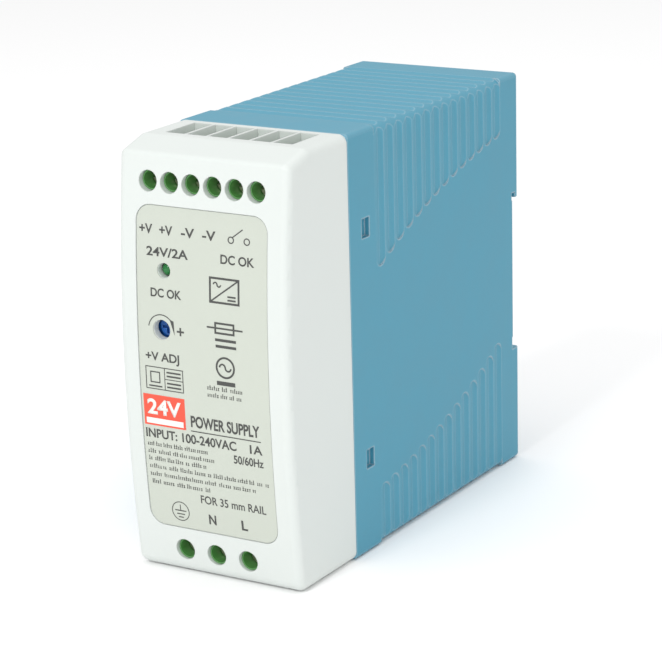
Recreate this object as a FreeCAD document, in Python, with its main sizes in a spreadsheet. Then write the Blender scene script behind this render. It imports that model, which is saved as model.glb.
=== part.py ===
import FreeCAD, Part
import math
import os
import re

import Sketcher
from FreeCAD import Placement, Rotation, Vector

# DIN rail power supply, 40 W class: a ribbed rear case and a bowed front cover that snap together,
# a sprung rail latch, two rows of rising-cage screw terminals, a status lamp, a voltage trimmer
# and the converter on its boards inside.
# Millimetres. X is the width, the front faces -Y, Z is up. The origin is at the bottom centre.

doc = FreeCAD.newDocument("DinRailPowerSupply")
sheet = doc.addObject("Spreadsheet::Sheet", "dims")
scratch = doc.addObject("Spreadsheet::Sheet", "scratch")
cells = {}
nodes = {}


# ---- the sheet of driving dimensions ----

def cell(alias, value):
    """Put a number in the sheet under its alias; a formula (text) passes through unchanged."""
    if isinstance(value, str):
        return value
    if alias in cells:
        raise ValueError("dimension %s is given twice" % alias)
    row = len(cells) + 1
    sheet.set("A%d" % row, alias)
    sheet.set("B%d" % row, "%.4f" % value)
    sheet.setAlias("B%d" % row, alias)
    cells[alias] = value
    return alias


def qualified(formula):
    """The formula with each alias written the way other objects refer to it."""
    def whole(match):
        return "dims." + match.group() if match.group() in cells else match.group()
    return re.sub(r"[a-z][a-z_0-9]*", whole, formula)


def number(formula):
    """The present value of a formula of sheet aliases."""
    scratch.set("A1", "=" + qualified(formula))
    scratch.recompute()
    return float(scratch.get("A1"))


def bind(item, prop, formula):
    """Drive one property from the sheet."""
    item.setExpression(prop, qualified(formula))


MAIN = {
    # envelope
    "object_width": 40.0,
    "object_depth": 100.0,
    "object_height": 90.0,
    "seam_plane": -25.5,
    "wall": 2.0,
    "rib_height": 0.4,
    "back_inside": 44.8,
    # flutes round the rear case; the crests between them are its ribs
    "rib_first": -14.75,
    "rib_pitch": 4.0,
    "rib_count": 14.0,
    "rib_fall": 2.1,
    "rib_round": 2.2,
    "rib_curve_radius": 180.0,
    "rib_curve_drop": 190.85,
    "rib_curve_centre": 67.45,
    # recess for the 35 mm rail
    "rail_seat": 47.0,
    "rail_slot_low": 26.5,
    "rail_slot_high": 61.8,
    "rail_hook_reach": 1.2,
    "rail_hook_inner": 48.25,
    "rail_relief": 0.3,
    # bowed front
    "face_sagitta": 3.0,
    "bevel_back": -40.0,
    "bevel_front_height": 87.9,
    # label
    "label_half_width": 15.5,
    "label_low": 10.0,
    "label_high": 77.7,
    "label_corner": 3.4,
    "label_recess": 0.4,
    "label_thickness": 0.25,
    # wire entries
    "entry_front": -37.7,
    "entry_back": -27.2,
    # lamp and trimmer on the front
    "lamp_x": -8.9,
    "lamp_z": 64.6,
    "trimmer_x": -9.7,
    "trimmer_z": 52.4,
    # boards
    "board_thickness": 1.6,
    "front_board_face": -26.2,
    "main_board_back": -15.4,
    "signal_board_face": -41.6,
    # terminals
    "output_pitch": 5.08,
    "output_screw_height": 82.3,
    "output_cell_half": 2.1,
    "output_head_radius": 1.65,
    "output_well_radius": 1.8,
    "output_hole_radius": 2.15,
    "input_pitch": 7.62,
    "input_screw_height": 5.2,
    "input_cell_half": 2.6,
    "input_head_radius": 1.75,
    "input_well_radius": 1.9,
    "input_hole_radius": 2.25,
    "terminal_front": -45.25,
    "terminal_collar_front": -46.7,
    "terminal_neck_front": -42.0,
    "terminal_neck_back": -41.2,
    "cage_back": -28.7,
    "cage_travel": 3.0,
    "contact_bar_front": -33.9,
    "contact_bar_thickness": 0.8,
    "clamp_screw_radius": 1.2,
    # rail latch
    "latch_half_width": 6.0,
    "latch_flange_half": 7.2,
    "latch_low": 1.0,
    "latch_shoulder": 27.4,
    "latch_nose": 28.9,
    "latch_inner": 46.2,
    "latch_outer": 49.8,
    "spring_low": 9.5,
    "spring_high": 20.0,
    "spring_coil_radius": 1.45,
    "spring_wire_radius": 0.2,
    "spring_turns": 9.0,
    "spring_centre": 48.0,
}
for alias, value in MAIN.items():
    cell(alias, value)
for alias, formula in (
        ("core_half", "object_width / 2"),
        ("rib_fall_radius", "(rib_fall ^ 2 + rib_height ^ 2) / (2 * rib_height)"),
        ("rib_rise_radius", "((rib_pitch - rib_fall) ^ 2 + rib_height ^ 2) / (2 * rib_height)"),
        ("cavity_half", "object_width / 2 - rib_height - wall"),
        ("cavity_low", "rib_height + wall"),
        ("cavity_high", "object_height - rib_height - wall"),
        ("front_limit", "0 - object_depth / 2"),
        ("back_limit", "object_depth / 2"),
        ("face_radius", "(face_sagitta ^ 2 + (object_height / 2) ^ 2) / (2 * face_sagitta)")):
    row = len(cells) + 1
    sheet.set("A%d" % row, alias)
    sheet.set("B%d" % row, "=" + formula)
    sheet.setAlias("B%d" % row, alias)
    cells[alias] = formula
doc.recompute()


# ---- sketches and PartDesign features ----

def draw_outline(sketch, points):
    """A closed outline. A point is (x, y), or (x, y, radius, bulge) when the edge that leaves it is
    an arc, bulging to the left (bulge 1) or to the right (bulge -1) of its direction."""
    places = [Vector(number(p[0]), number(p[1]), 0) for p in points]
    count = len(points)
    edges = []
    for i in range(count):
        start, end = places[i], places[(i + 1) % count]
        if len(points[i]) == 2:
            edge = sketch.addGeometry(Part.LineSegment(start, end), False)
            edges.append((edge, 1, 2))
            continue
        radius, bulge = number(points[i][2]), points[i][3]
        chord = end - start
        sagitta = radius - math.sqrt(radius ** 2 - (chord.Length / 2) ** 2)
        left = Vector(-chord.y, chord.x, 0).normalize()
        middle = (start + end) * 0.5 + left * (bulge * sagitta)
        edge = sketch.addGeometry(Part.Arc(start, middle, end), False)
        first = 1 if sketch.getPoint(edge, 1).distanceToPoint(start) < 1e-6 else 2
        edges.append((edge, first, 3 - first))
    for i in range(count):
        edge, first, last = edges[i]
        following = edges[(i + 1) % count]
        sketch.addConstraint(Sketcher.Constraint("Coincident", edge, last, following[0], following[1]))
    for i in range(count):
        edge, first, last = edges[i]
        for kind, formula, value in (("DistanceX", points[i][0], places[i].x),
                                     ("DistanceY", points[i][1], places[i].y)):
            mark = sketch.addConstraint(Sketcher.Constraint(kind, -1, 1, edge, first, value))
            bind(sketch, "Constraints[%d]" % mark, formula)
        if len(points[i]) > 2:
            mark = sketch.addConstraint(Sketcher.Constraint("Radius", edge, number(points[i][2])))
            bind(sketch, "Constraints[%d]" % mark, points[i][2])


def draw_circle(sketch, x, y, radius):
    centre = Vector(number(x), number(y), 0)
    edge = sketch.addGeometry(Part.Circle(centre, Vector(0, 0, 1), number(radius)), False)
    for kind, formula, value in (("DistanceX", x, centre.x), ("DistanceY", y, centre.y)):
        mark = sketch.addConstraint(Sketcher.Constraint(kind, -1, 1, edge, 3, value))
        bind(sketch, "Constraints[%d]" % mark, formula)
    mark = sketch.addConstraint(Sketcher.Constraint("Radius", edge, number(radius)))
    bind(sketch, "Constraints[%d]" % mark, radius)


def rectangle(x0, y0, x1, y1):
    return [(x0, y0), (x1, y0), (x1, y1), (x0, y1)]


def new_body(name):
    return doc.addObject("PartDesign::Body", name)


def prism(body, plane, low, high, outlines, name, remove=False):
    """Pad or pocket outlines drawn in a plane (XZ, YZ or XY) from low to high along Y, X or Z."""
    before = body.Shape.Volume if body.Tip else 0.0
    sketch = body.newObject("Sketcher::SketchObject", name + "_sketch")
    origin = [f for f in body.Origin.OriginFeatures if f.Role == plane + "_Plane"][0]
    sketch.AttachmentSupport = [(origin, "")]
    sketch.MapMode = "FlatFace"
    toward_positive = plane != "XZ"
    bind(sketch, "AttachmentOffset.Base.z", low if toward_positive else "0 - (%s)" % low)
    for outline in outlines:
        if len(outline) == 3 and isinstance(outline[0], str):
            draw_circle(sketch, *outline)
        else:
            draw_outline(sketch, outline)
    feature = body.newObject("PartDesign::Pocket" if remove else "PartDesign::Pad", name)
    feature.Profile = sketch
    bind(feature, "Length", "(%s) - (%s)" % (high, low))
    feature.Reversed = toward_positive if remove else not toward_positive
    doc.recompute()
    change = feature.Shape.Volume - before
    if (remove and change > -1e-3) or (not remove and change < 1e-3):
        raise RuntimeError("%s changes the volume by %.4f" % (name, change))
    return feature


def round_edges(body, name, chosen, radius, kind="Fillet"):
    """Fillet or chamfer those edges of the body's tip that the test chosen(edge) accepts."""
    base = body.Tip
    names = ["Edge%d" % (i + 1) for i, edge in enumerate(base.Shape.Edges) if chosen(edge)]
    if not names:
        raise RuntimeError("%s finds no edge" % name)
    feature = body.newObject("PartDesign::" + kind, name)
    feature.Base = (base, names)
    bind(feature, "Radius" if kind == "Fillet" else "Size", radius)
    doc.recompute()
    return feature


def along(edge, axis):
    """True when the edge is straight and runs along the axis x, y or z."""
    if edge.Curve.TypeId != "Part::GeomLine":
        return False
    direction = edge.tangentAt(edge.FirstParameter)
    return abs(getattr(direction, axis)) > 0.999


# ---- Part primitives and booleans ----

def box(name, x, y, z):
    """A box from (low, high) formulas or numbers along each axis."""
    item = doc.addObject("Part::Box", name)
    sizes = (("x", "Length", x), ("y", "Width", y), ("z", "Height", z))
    for axis, prop, (low, high) in sizes:
        low = cell("%s_%s_low" % (name, axis), low)
        high = cell("%s_%s_high" % (name, axis), high)
        bind(item, "Placement.Base." + axis, low)
        bind(item, prop, "(%s) - (%s)" % (high, low))
    return item


TURNS = {"x": Rotation(Vector(0, 1, 0), 90), "y": Rotation(Vector(1, 0, 0), -90), "z": Rotation()}


def cylinder(name, axis, centre, low, high, radius):
    """A cylinder along an axis from low to high; centre holds the other two coordinates."""
    item = doc.addObject("Part::Cylinder", name)
    item.Placement = Placement(Vector(), TURNS[axis])
    others = [a for a in "xyz" if a != axis]
    low = cell(name + "_low", low)
    high = cell(name + "_high", high)
    bind(item, "Placement.Base." + axis, low)
    bind(item, "Height", "(%s) - (%s)" % (high, low))
    bind(item, "Radius", cell(name + "_radius", radius))
    for other, place in zip(others, centre):
        bind(item, "Placement.Base." + other, cell("%s_%s" % (name, other), place))
    return item


def fuse(name, items):
    item = doc.addObject("Part::MultiFuse", name)
    item.Shapes = items
    item.Refine = True
    return item


def common(name, items):
    item = doc.addObject("Part::MultiCommon", name)
    item.Shapes = items
    return item


def cut(name, base, tools):
    item = doc.addObject("Part::Cut", name)
    item.Base = base
    item.Tool = tools[0] if len(tools) == 1 else fuse(name + "_tools", tools)
    item.Refine = True
    return item


def group(name, items):
    """Several separate solids that count as one piece, such as a set of pins."""
    item = doc.addObject("Part::Compound", name)
    item.Links = items
    return item


def node(name, item):
    item.Label = name
    nodes[name] = item
    return item


# ---- rear case ----

def rib_slices(name, plane, low_edge, high_edge, span_low, span_high):
    """The fluted block seen along one axis, one slice per flute. From each crest the surface falls
    on a rounded slope and rises on a hollow one to the next crest."""
    body = new_body(name)
    outline = [
        ("rib_first", low_edge, "rib_fall_radius", -1),
        ("rib_first + rib_fall", "(%s) + rib_height" % low_edge, "rib_rise_radius", 1),
        ("rib_first + rib_pitch", low_edge),
        ("rib_first + rib_pitch", high_edge, "rib_rise_radius", 1),
        ("rib_first + rib_fall", "(%s) - rib_height" % high_edge, "rib_fall_radius", -1),
        ("rib_first", high_edge)]
    if plane == "XY":
        outline = [(p[1], p[0]) if len(p) == 2 else (p[1], p[0], p[2], -p[3]) for p in outline]
    pad = prism(body, plane, span_low, span_high, [outline], name + "_slice")
    pattern = body.newObject("PartDesign::LinearPattern", name + "_pattern")
    pattern.Originals = [pad]
    y_axis = [f for f in body.Origin.OriginFeatures if f.Role == "Y_Axis"][0]
    pattern.Direction = (y_axis, [""])
    bind(pattern, "Length", "rib_pitch * (rib_count - 1)")
    bind(pattern, "Occurrences", "rib_count")
    body.Tip = pattern
    doc.recompute()
    return body


side_view = rib_slices("ribs_side_view", "YZ", "0", "object_height", "0 - core_half", "core_half")
plan_view = rib_slices("ribs_plan_view", "XY", "0 - core_half", "core_half", "0", "object_height")
front_view = new_body("ribs_front_view")
prism(front_view, "XZ", "rib_first - 1", "rib_first + rib_pitch * rib_count + 1",
      [rectangle("0 - core_half", "0", "core_half", "object_height")], "front_view_pad")
round_edges(front_view, "front_view_round", lambda e: along(e, "y"), "rib_round")
fluted = common("fluted_block", [side_view, plan_view, front_view])

# Each flute has its own length: the upper flutes end on one long arc and the lower flutes end on
# the same arc turned half round. Every closed end is a half circle.
zones = []
reach = ("0 - object_width", "object_width")
for k in range(int(MAIN["rib_count"])):
    start = "rib_first + rib_pitch * %d" % k
    end = "rib_first + rib_pitch * %d" % (k + 1)
    middle = "rib_first + rib_pitch * %.1f" % (k + 0.5)
    other = "rib_first + rib_pitch * (rib_count - %.1f)" % (k + 0.5)
    drop = "rib_curve_drop - sqrt(rib_curve_radius ^ 2 - (rib_curve_centre - (%s)) ^ 2)"
    upper_end = "object_height - (%s) + rib_pitch / 2" % (drop % middle)
    lower_end = "(%s) - rib_pitch / 2" % (drop % other)
    zones.append(box("upper_zone_%d" % k, reach, (start, end), (upper_end, "object_height + 1")))
    zones.append(cylinder("upper_end_%d" % k, "x", (middle, upper_end), *reach, "rib_pitch / 2"))
    zones.append(box("lower_zone_%d" % k, reach, (start, end), ("0 - 1", lower_end)))
    zones.append(cylinder("lower_end_%d" % k, "x", (middle, lower_end), *reach, "rib_pitch / 2"))
blank = box("flute_blank", ("0 - core_half - 1", "core_half + 1"),
            ("rib_first", "rib_first + rib_pitch * rib_count"), ("0 - 1", "object_height + 1"))
flutes = common("flutes", [cut("flute_shell", blank, [fluted]), fuse("flute_zones", zones)])

case_core = new_body("case_core")
prism(case_core, "XZ", "seam_plane", "back_limit",
      [rectangle("0 - core_half", "0", "core_half", "object_height")], "case_core_pad")
cell("long_edge_round", 0.9)
cell("seam_chamfer", 0.3)
cell("back_edge_round", 1.0)
doc.recompute()
round_edges(case_core, "case_long_edges", lambda e: along(e, "y"), "long_edge_round")
round_edges(case_core, "case_seam_edge",
            lambda e: abs(e.CenterOfMass.y - MAIN["seam_plane"]) < 0.01, "seam_chamfer", "Chamfer")
round_edges(case_core, "case_back_edge",
            lambda e: abs(e.CenterOfMass.y - MAIN["object_depth"] / 2) < 0.01, "back_edge_round")
case_outside = cut("case_outside", case_core, [flutes])

hollows = [
    box("case_cavity", ("0 - cavity_half", "cavity_half"), ("seam_plane - 1", "back_inside"),
        ("cavity_low", "cavity_high")),
    box("rail_recess", ("0 - object_width", "object_width"), ("rail_seat", "back_limit + 2"),
        ("rail_slot_low", "rail_slot_high")),
    box("rail_hook_gap", ("0 - object_width", "object_width"), ("rail_seat - rail_relief", "rail_hook_inner"),
        ("rail_slot_high - 0.5", "rail_slot_high + rail_hook_reach")),
    box("rail_latch_relief", ("0 - object_width", "object_width"),
        ("rail_seat - rail_relief", "rail_seat + 1"), ("rail_slot_low", "latch_nose + 0.5")),
    box("latch_channel", ("0 - latch_half_width - 0.2", "latch_half_width + 0.2"),
        ("latch_inner - 0.2", "back_limit + 2"), ("0 - 1", "latch_shoulder + 0.2")),
    box("latch_guide", ("0 - latch_flange_half - 0.2", "latch_flange_half + 0.2"),
        ("latch_inner - 0.2", "latch_inner + 1.2"), ("0 - 1", "rail_slot_low - 0.3")),
]
cell("window_front", -20.3)
cell("window_back", -17.2)
cell("window_half_height", 2.05)
cell("window_depth", 1.2)
cell("window_low_centre", 20.4)
cell("window_high_centre", 69.6)
doc.recompute()
snap_bosses = []
for side, sign in (("left", "0 -"), ("right", "")):
    for level in ("low", "high"):
        z = ("window_%s_centre - window_half_height" % level, "window_%s_centre + window_half_height" % level)
        y = ("window_front", "window_back")
        outer = ["%s (core_half + 1)" % sign, "%s (core_half - window_depth)" % sign]
        inner = ["%s (cavity_half + 0.2)" % sign, "%s (cavity_half - 1.1)" % sign]
        if side == "right":
            outer.reverse()
            inner.reverse()
        hollows.append(box("window_%s_%s" % (side, level), outer, y, z))
        snap_bosses.append(box("boss_%s_%s" % (side, level), inner, y, z))
case_hollow = cut("case_hollow", case_outside, hollows)

guides = []
for level, z in (("low", ("cavity_low - 0.5", "cavity_low + 2")),
                 ("high", ("cavity_high - 2", "cavity_high + 0.5"))):
    y = ("0 - 10", "back_inside + 0.5")
    guides.append(box("guide_outer_" + level, ("main_board_back - 1.2", "main_board_back - 0.1"), y, z))
    guides.append(box("guide_inner_" + level,
                      ("main_board_back + board_thickness + 0.1", "main_board_back + board_thickness + 1.2"),
                      y, z))
latch_tab = box("latch_tab", (-2.0, 2.0), ("latch_inner - 0.5", 48.9), ("spring_low - 1.5", "spring_low"))
latch_peg = cylinder("latch_peg", "z", ("0", "spring_centre"), "spring_low - 0.2", "spring_low + 1.5", 0.9)
node("rear_case", fuse("rear_case", [case_hollow, latch_tab, latch_peg] + snap_bosses + guides))


# ---- rail latch and its spring ----

latch = new_body("latch")
prism(latch, "YZ", "0 - latch_half_width", "latch_half_width", [[
    ("latch_inner", "latch_low"), ("latch_outer", "latch_low"), ("latch_outer", "latch_shoulder"),
    ("latch_outer - 0.9", "latch_nose"), ("rail_hook_inner", "latch_nose"),
    ("rail_hook_inner", "latch_shoulder"), ("latch_inner", "latch_shoulder")]], "latch_plate")
prism(latch, "XZ", "latch_inner", "latch_inner + 1",
      [rectangle("0 - latch_flange_half", "latch_low", "latch_flange_half", "rail_slot_low - 0.5")],
      "latch_flange")
prism(latch, "XZ", "latch_inner - 1", "latch_outer + 1", [
    rectangle("0 - 2.4", "spring_low - 1.7", "2.4", "spring_high"),
    rectangle("0 - 3", "latch_low + 2", "3", "latch_low + 4.6")], "latch_windows", remove=True)
prism(latch, "XY", "spring_high - 1.4", "spring_high + 0.2", [("0", "spring_centre", "0.9")],
      "latch_spring_peg")
round_edges(latch, "latch_corners", lambda e: along(e, "y") and abs(e.CenterOfMass.z - 1.0) < 0.01
            and abs(e.CenterOfMass.x) > 5.5, "0.6")
node("rail_latch", latch)

spring = new_body("spring")
section = spring.newObject("Sketcher::SketchObject", "spring_section")
section.AttachmentSupport = [([f for f in spring.Origin.OriginFeatures if f.Role == "XZ_Plane"][0], "")]
section.MapMode = "FlatFace"
draw_circle(section, "spring_coil_radius", "spring_low + spring_wire_radius + 0.05", "spring_wire_radius")
coils = spring.newObject("PartDesign::AdditiveHelix", "spring_coils")
coils.Profile = section
coils.ReferenceAxis = (section, ["V_Axis"])
coils.Mode = "pitch-height-angle"
bind(coils, "Height", "spring_high - spring_low - 2 * spring_wire_radius - 0.1")
bind(coils, "Pitch", "(spring_high - spring_low - 2 * spring_wire_radius - 0.1) / spring_turns")
doc.recompute()
bind(spring, "Placement.Base.y", "spring_centre")
node("latch_spring", spring)


# ---- front cover and label ----

cover = new_body("cover_shell")
arc_y = "face_radius - object_depth / 2 - sqrt((face_radius - %s) ^ 2 - (%s - object_height / 2) ^ 2)"
inner_top = "cavity_high - 1.6"
prism(cover, "YZ", "0 - core_half", "core_half", [[
    ("seam_plane", "0"),
    (arc_y % ("0", "0"), "0", "face_radius", 1),
    (arc_y % ("0", "bevel_front_height"), "bevel_front_height"),
    ("bevel_back", "object_height"),
    ("seam_plane", "object_height")]], "cover_outside")
cell("cover_bottom_round", 2.6)
cell("cover_bevel_round", 1.2)
cell("cover_long_round", 1.8)
doc.recompute()


def at_height(edge, height):
    return along(edge, "x") and abs(edge.CenterOfMass.z - height) < 0.01


round_edges(cover, "cover_bottom_front", lambda e: at_height(e, 0.0) and e.CenterOfMass.y < -40,
            "cover_bottom_round")
round_edges(cover, "cover_bevel_front", lambda e: at_height(e, MAIN["bevel_front_height"]),
            "cover_bevel_round")
round_edges(cover, "cover_sides", lambda e: abs(abs(e.CenterOfMass.x) - number("core_half")) < 0.01
            and e.CenterOfMass.y < -26, "cover_long_round")
prism(cover, "YZ", "0 - cavity_half", "cavity_half", [[
    ("seam_plane + 2", "cavity_low"),
    (arc_y % ("wall", "cavity_low"), "cavity_low", "face_radius - wall", 1),
    (arc_y % ("wall", inner_top), inner_top),
    ("bevel_back", "cavity_high"),
    ("seam_plane + 2", "cavity_high")]], "cover_inside", remove=True)

half_entries = "output_pitch * 3 + 0.8"
additions = [cover, box("output_chute", ("0 - (%s)" % half_entries, half_entries),
                        ("entry_front - 1", "front_board_face"),
                        ("output_screw_height + 2.75", "cavity_high + 0.5"))]
openings = []
for i in range(6):
    x = "output_pitch * %.1f" % (i - 2.5)
    openings.append(box("output_entry_%d" % (i + 1),
                        (x + " - output_pitch / 2 + 0.3", x + " + output_pitch / 2 - 0.3"),
                        ("entry_front", "entry_back"), ("output_screw_height", "object_height + 1")))
    openings.append(cylinder("output_driver_hole_%d" % (i + 1), "y", (x, "output_screw_height"),
                             "front_limit - 1", "terminal_front + 1", "output_hole_radius"))
for i in range(3):
    x = "input_pitch * %d" % (i - 1)
    openings.append(box("input_entry_%d" % (i + 1), (x + " - 3.4", x + " + 3.4"),
                        ("entry_front", "entry_back"), ("0 - 1", "cavity_low + 1")))
    openings.append(cylinder("input_driver_hole_%d" % (i + 1), "y", (x, "input_screw_height"),
                             "front_limit - 1", "terminal_front + 1", "input_hole_radius"))
for side, sign in (("left", "0 -"), ("right", "")):
    root = ["%s (cavity_half + 0.2)" % sign, "%s (cavity_half - 1.4)" % sign]
    tongue = ["%s (cavity_half - 0.1)" % sign, "%s (cavity_half - 1.4)" % sign]
    if side == "right":
        root.reverse()
        tongue.reverse()
    additions.append(box("skirt_root_" + side, root, ("seam_plane - 3.5", "seam_plane"), (12.0, 78.0)))
    additions.append(box("skirt_tongue_" + side, tongue, ("seam_plane - 0.5", "seam_plane + 11"),
                         ("skirt_root_%s_z_low" % side, "skirt_root_%s_z_high" % side)))
    for level in ("low", "high"):
        openings.append(box("skirt_window_%s_%s" % (side, level), tongue[:],
                            ("window_front - 0.2", "window_back + 0.2"),
                            ("window_%s_centre - window_half_height - 0.2" % level,
                             "window_%s_centre + window_half_height + 0.2" % level)))
lamp_hole = cylinder("lamp_hole", "y", ("lamp_x", "lamp_z"), "front_limit - 1", "terminal_front + 1", 1.5)
trimmer_hole = cylinder("trimmer_hole", "y", ("trimmer_x", "trimmer_z"), "front_limit - 1",
                        "terminal_front + 1", 2.0)


def label_prism(name, margin):
    """The label's round-cornered outline as a block through the bowed face."""
    body = new_body(name)
    prism(body, "XZ", "front_limit - 1", "front_limit + 5", [rectangle(
        "0 - label_half_width + %s" % margin, "label_low + %s" % margin,
        "label_half_width - %s" % margin, "label_high - %s" % margin)], name + "_pad")
    round_edges(body, name + "_corners", lambda e: along(e, "y"), "label_corner - %s" % margin)
    return body


def bowed_solid(name, inset):
    """A cylinder about X whose front surface is the bowed face moved in by inset."""
    return cylinder(name, "x", ("face_radius - object_depth / 2", "object_height / 2"),
                    "0 - object_width", "object_width", "face_radius - %s" % inset)


recess = cut("label_recess_block", label_prism("recess_outline", "0"),
             [bowed_solid("recess_floor", "label_recess")])
cover_whole = fuse("cover_whole", additions)
node("front_cover", cut("front_cover", cover_whole, openings + [lamp_hole, trimmer_hole, recess]))

sheet_front = bowed_solid("label_front", "label_recess + label_thickness")
label_slab = common("label_slab", [label_prism("label_outline", "0.15"), sheet_front])
label_sheet = cut("label_sheet", label_slab, [bowed_solid("label_back", "label_recess")])
lamp_gap = cylinder("label_lamp_gap", "y", ("lamp_x", "lamp_z"), "front_limit - 1", "terminal_front", 1.6)
trimmer_gap = cylinder("label_trimmer_gap", "y", ("trimmer_x", "trimmer_z"), "front_limit - 1",
                       "terminal_front", 2.1)
node("label", cut("label", label_sheet, [lamp_gap, trimmer_gap]))


# ---- screw terminals ----

def terminal_row(row, count, up, spare):
    """Rising-cage terminals side by side. up is 1 when the wires come from above, -1 from below.
    The screw turns in the housing's neck and draws its cage forward, which clamps the wire
    between the cage's rear wall and the fixed contact bar."""
    def name_of(text):
        return "%s_%s" % (row, text)

    def level(low, high):
        ends = ["%s_screw_height + (%.2f)" % (row, value * up) for value in (low, high)]
        return ends if up > 0 else ends[::-1]

    cell_half = "%s_cell_half" % row
    half_row = "%s_pitch * %.1f + %s" % (row, count / 2.0, spare)
    outside = box(name_of("block"), ("0 - (%s)" % half_row, half_row),
                  ("terminal_front", "front_board_face"), level(-7.7, 2.7))
    collars = []
    holes = []
    board_holes = []
    bars = []
    for i in range(count):
        tag = "_%d" % (i + 1)
        x = "%s_pitch * %.1f" % (row, i - (count - 1) / 2.0)
        height = "%s_screw_height" % row

        def inset(margin):
            return ("%s - %s + %.2f" % (x, cell_half, margin), "%s + %s - %.2f" % (x, cell_half, margin))

        holes.append(box(name_of("cavity" + tag), inset(0), ("terminal_neck_back", "cage_back + 0.1"),
                         level(-6.3, 2.1)))
        holes.append(box(name_of("wire_hole" + tag), inset(0.4),
                         ("contact_bar_front + 0.9", "cage_back - 1.1"), level(1.9, 2.9)))
        collars.append(cylinder(name_of("collar" + tag), "y", (x, height), "terminal_collar_front",
                                "terminal_front + 0.5", row + "_hole_radius - 0.1"))
        holes.append(cylinder(name_of("well" + tag), "y", (x, height), "terminal_collar_front - 1",
                              "terminal_neck_front", row + "_well_radius"))
        holes.append(cylinder(name_of("neck" + tag), "y", (x, height), "terminal_neck_front - 0.2",
                              "terminal_neck_back + 0.2", "clamp_screw_radius + 0.1"))
        holes.append(box(name_of("pin_slot" + tag), (x + " - 0.55", x + " + 0.55"),
                         ("cage_back", "front_board_face + 1"), level(-5.85, -4.95)))
        board_holes.append(box(name_of("board_slot" + tag), (x + " - 0.55", x + " + 0.55"),
                               ("front_board_face - 1", "front_board_face + board_thickness + 1"),
                               level(-5.85, -4.95)))
        bar = box(name_of("bar" + tag), inset(0.8),
                  ("contact_bar_front", "contact_bar_front + contact_bar_thickness"), level(-5.8, 1.9))
        leg = box(name_of("leg" + tag), (x + " - 0.5", x + " + 0.5"),
                  ("contact_bar_front + 0.2", "front_board_face + board_thickness + 0.8"),
                  level(-5.8, -5.0))
        bars.append(fuse(name_of("contact" + tag), [bar, leg]))

        cage = box(name_of("cage_block" + tag), inset(0.15),
                   ("terminal_neck_back + 0.1 + cage_travel", "cage_back"), level(-2.2, 1.9))
        inside = box(name_of("cage_inside" + tag), inset(0.6),
                     ("terminal_neck_back + 1.3 + cage_travel", "cage_back - 1"), level(-3.2, 2.9))
        thread = cylinder(name_of("cage_thread" + tag), "y", (x, height), "terminal_neck_back",
                          "terminal_neck_back + 2 + cage_travel", "clamp_screw_radius + 0.08")
        node(name_of("clamp" + tag), cut(name_of("clamp" + tag), cage, [inside, thread]))

        head = cylinder(name_of("head" + tag), "y", (x, height), "terminal_neck_front - 1.6",
                        "terminal_neck_front - 0.1", row + "_head_radius")
        shank = cylinder(name_of("shank" + tag), "y", (x, height), "terminal_neck_front - 0.2",
                         "contact_bar_front - 0.05", "clamp_screw_radius")
        slot = box(name_of("head_slot" + tag), (x + " - 3", x + " + 3"),
                   ("terminal_neck_front - 2", "terminal_neck_front - 0.8"),
                   (height + " - 0.35", height + " + 0.35"))
        cross = box(name_of("head_cross" + tag), (x + " - 0.35", x + " + 0.35"),
                    ("terminal_neck_front - 2", "terminal_neck_front - 0.8"),
                    (height + " - 1.15", height + " + 1.15"))
        screw = fuse(name_of("screw_blank" + tag), [head, shank])
        node(name_of("screw" + tag), cut(name_of("screw" + tag), screw, [slot, cross]))
    blank = fuse(name_of("terminal_blank"), [outside] + collars)
    node(name_of("terminal_housing"), cut(name_of("terminal_housing"), blank, holes))
    node(name_of("terminal_pins"), group(name_of("terminal_pins"), bars))
    return board_holes


board_holes = terminal_row("output", 6, 1, 0.56) + terminal_row("input", 3, -1, 0.37)


# ---- boards, lamp and trimmer ----

pins = []
main_holes = []
for index, z in enumerate((24.0, 27.0, 30.0, 60.0, 63.0, 66.0, 69.0)):
    name = "link_pin_%d" % (index + 1)
    height = cell(name + "_height", z)
    z_pin = (height + " - 0.3", height + " + 0.3")
    z_hole = (height + " - 0.36", height + " + 0.36")
    pins.append(fuse(name, [
        box(name + "_long", (-12.6, -12.0), ("front_board_face - 0.6", "main_board_back - 4.6"), z_pin),
        box(name + "_cross", ("main_board_back - 0.6", "%s_long_x_high" % name),
            ("main_board_back - 5.2", "main_board_back - 4.6"), z_pin)]))
    board_holes.append(box(name + "_hole", ("%s_long_x_low - 0.06" % name, "%s_long_x_high + 0.06" % name),
                           ("front_board_face - 1", "front_board_face + 3"), z_hole))
    main_holes.append(box(name + "_main_hole", ("main_board_back - 1", "main_board_back + 3"),
                          ("main_board_back - 5.26", "main_board_back - 4.54"), z_hole))
node("board_link_pins", group("board_link_pins", pins))

header_pins = []
signal_holes = []
for index in range(5):
    name = "header_pin_%d" % (index + 1)
    x = "2.54 * %d" % (index - 1)
    z = ("45.7", "46.3")
    header_pins.append(box(name, (x + " - 0.3", x + " + 0.3"),
                           ("signal_board_face - 0.8", "front_board_face + board_thickness + 0.8"), z))
    hole = (x + " - 0.36", x + " + 0.36")
    board_holes.append(box(name + "_hole", hole, ("front_board_face - 1", "front_board_face + 3"),
                           ("45.64", "46.36")))
    signal_holes.append(box(name + "_signal_hole", hole, ("signal_board_face - 1", "signal_board_face + 3"),
                            ("45.64", "46.36")))
strip = box("header_strip", (-3.9, 9.0), ("signal_board_face + board_thickness", "front_board_face - 0.0"),
            (44.8, 47.2))
node("signal_header", fuse("signal_header", header_pins + [strip]))

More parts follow.
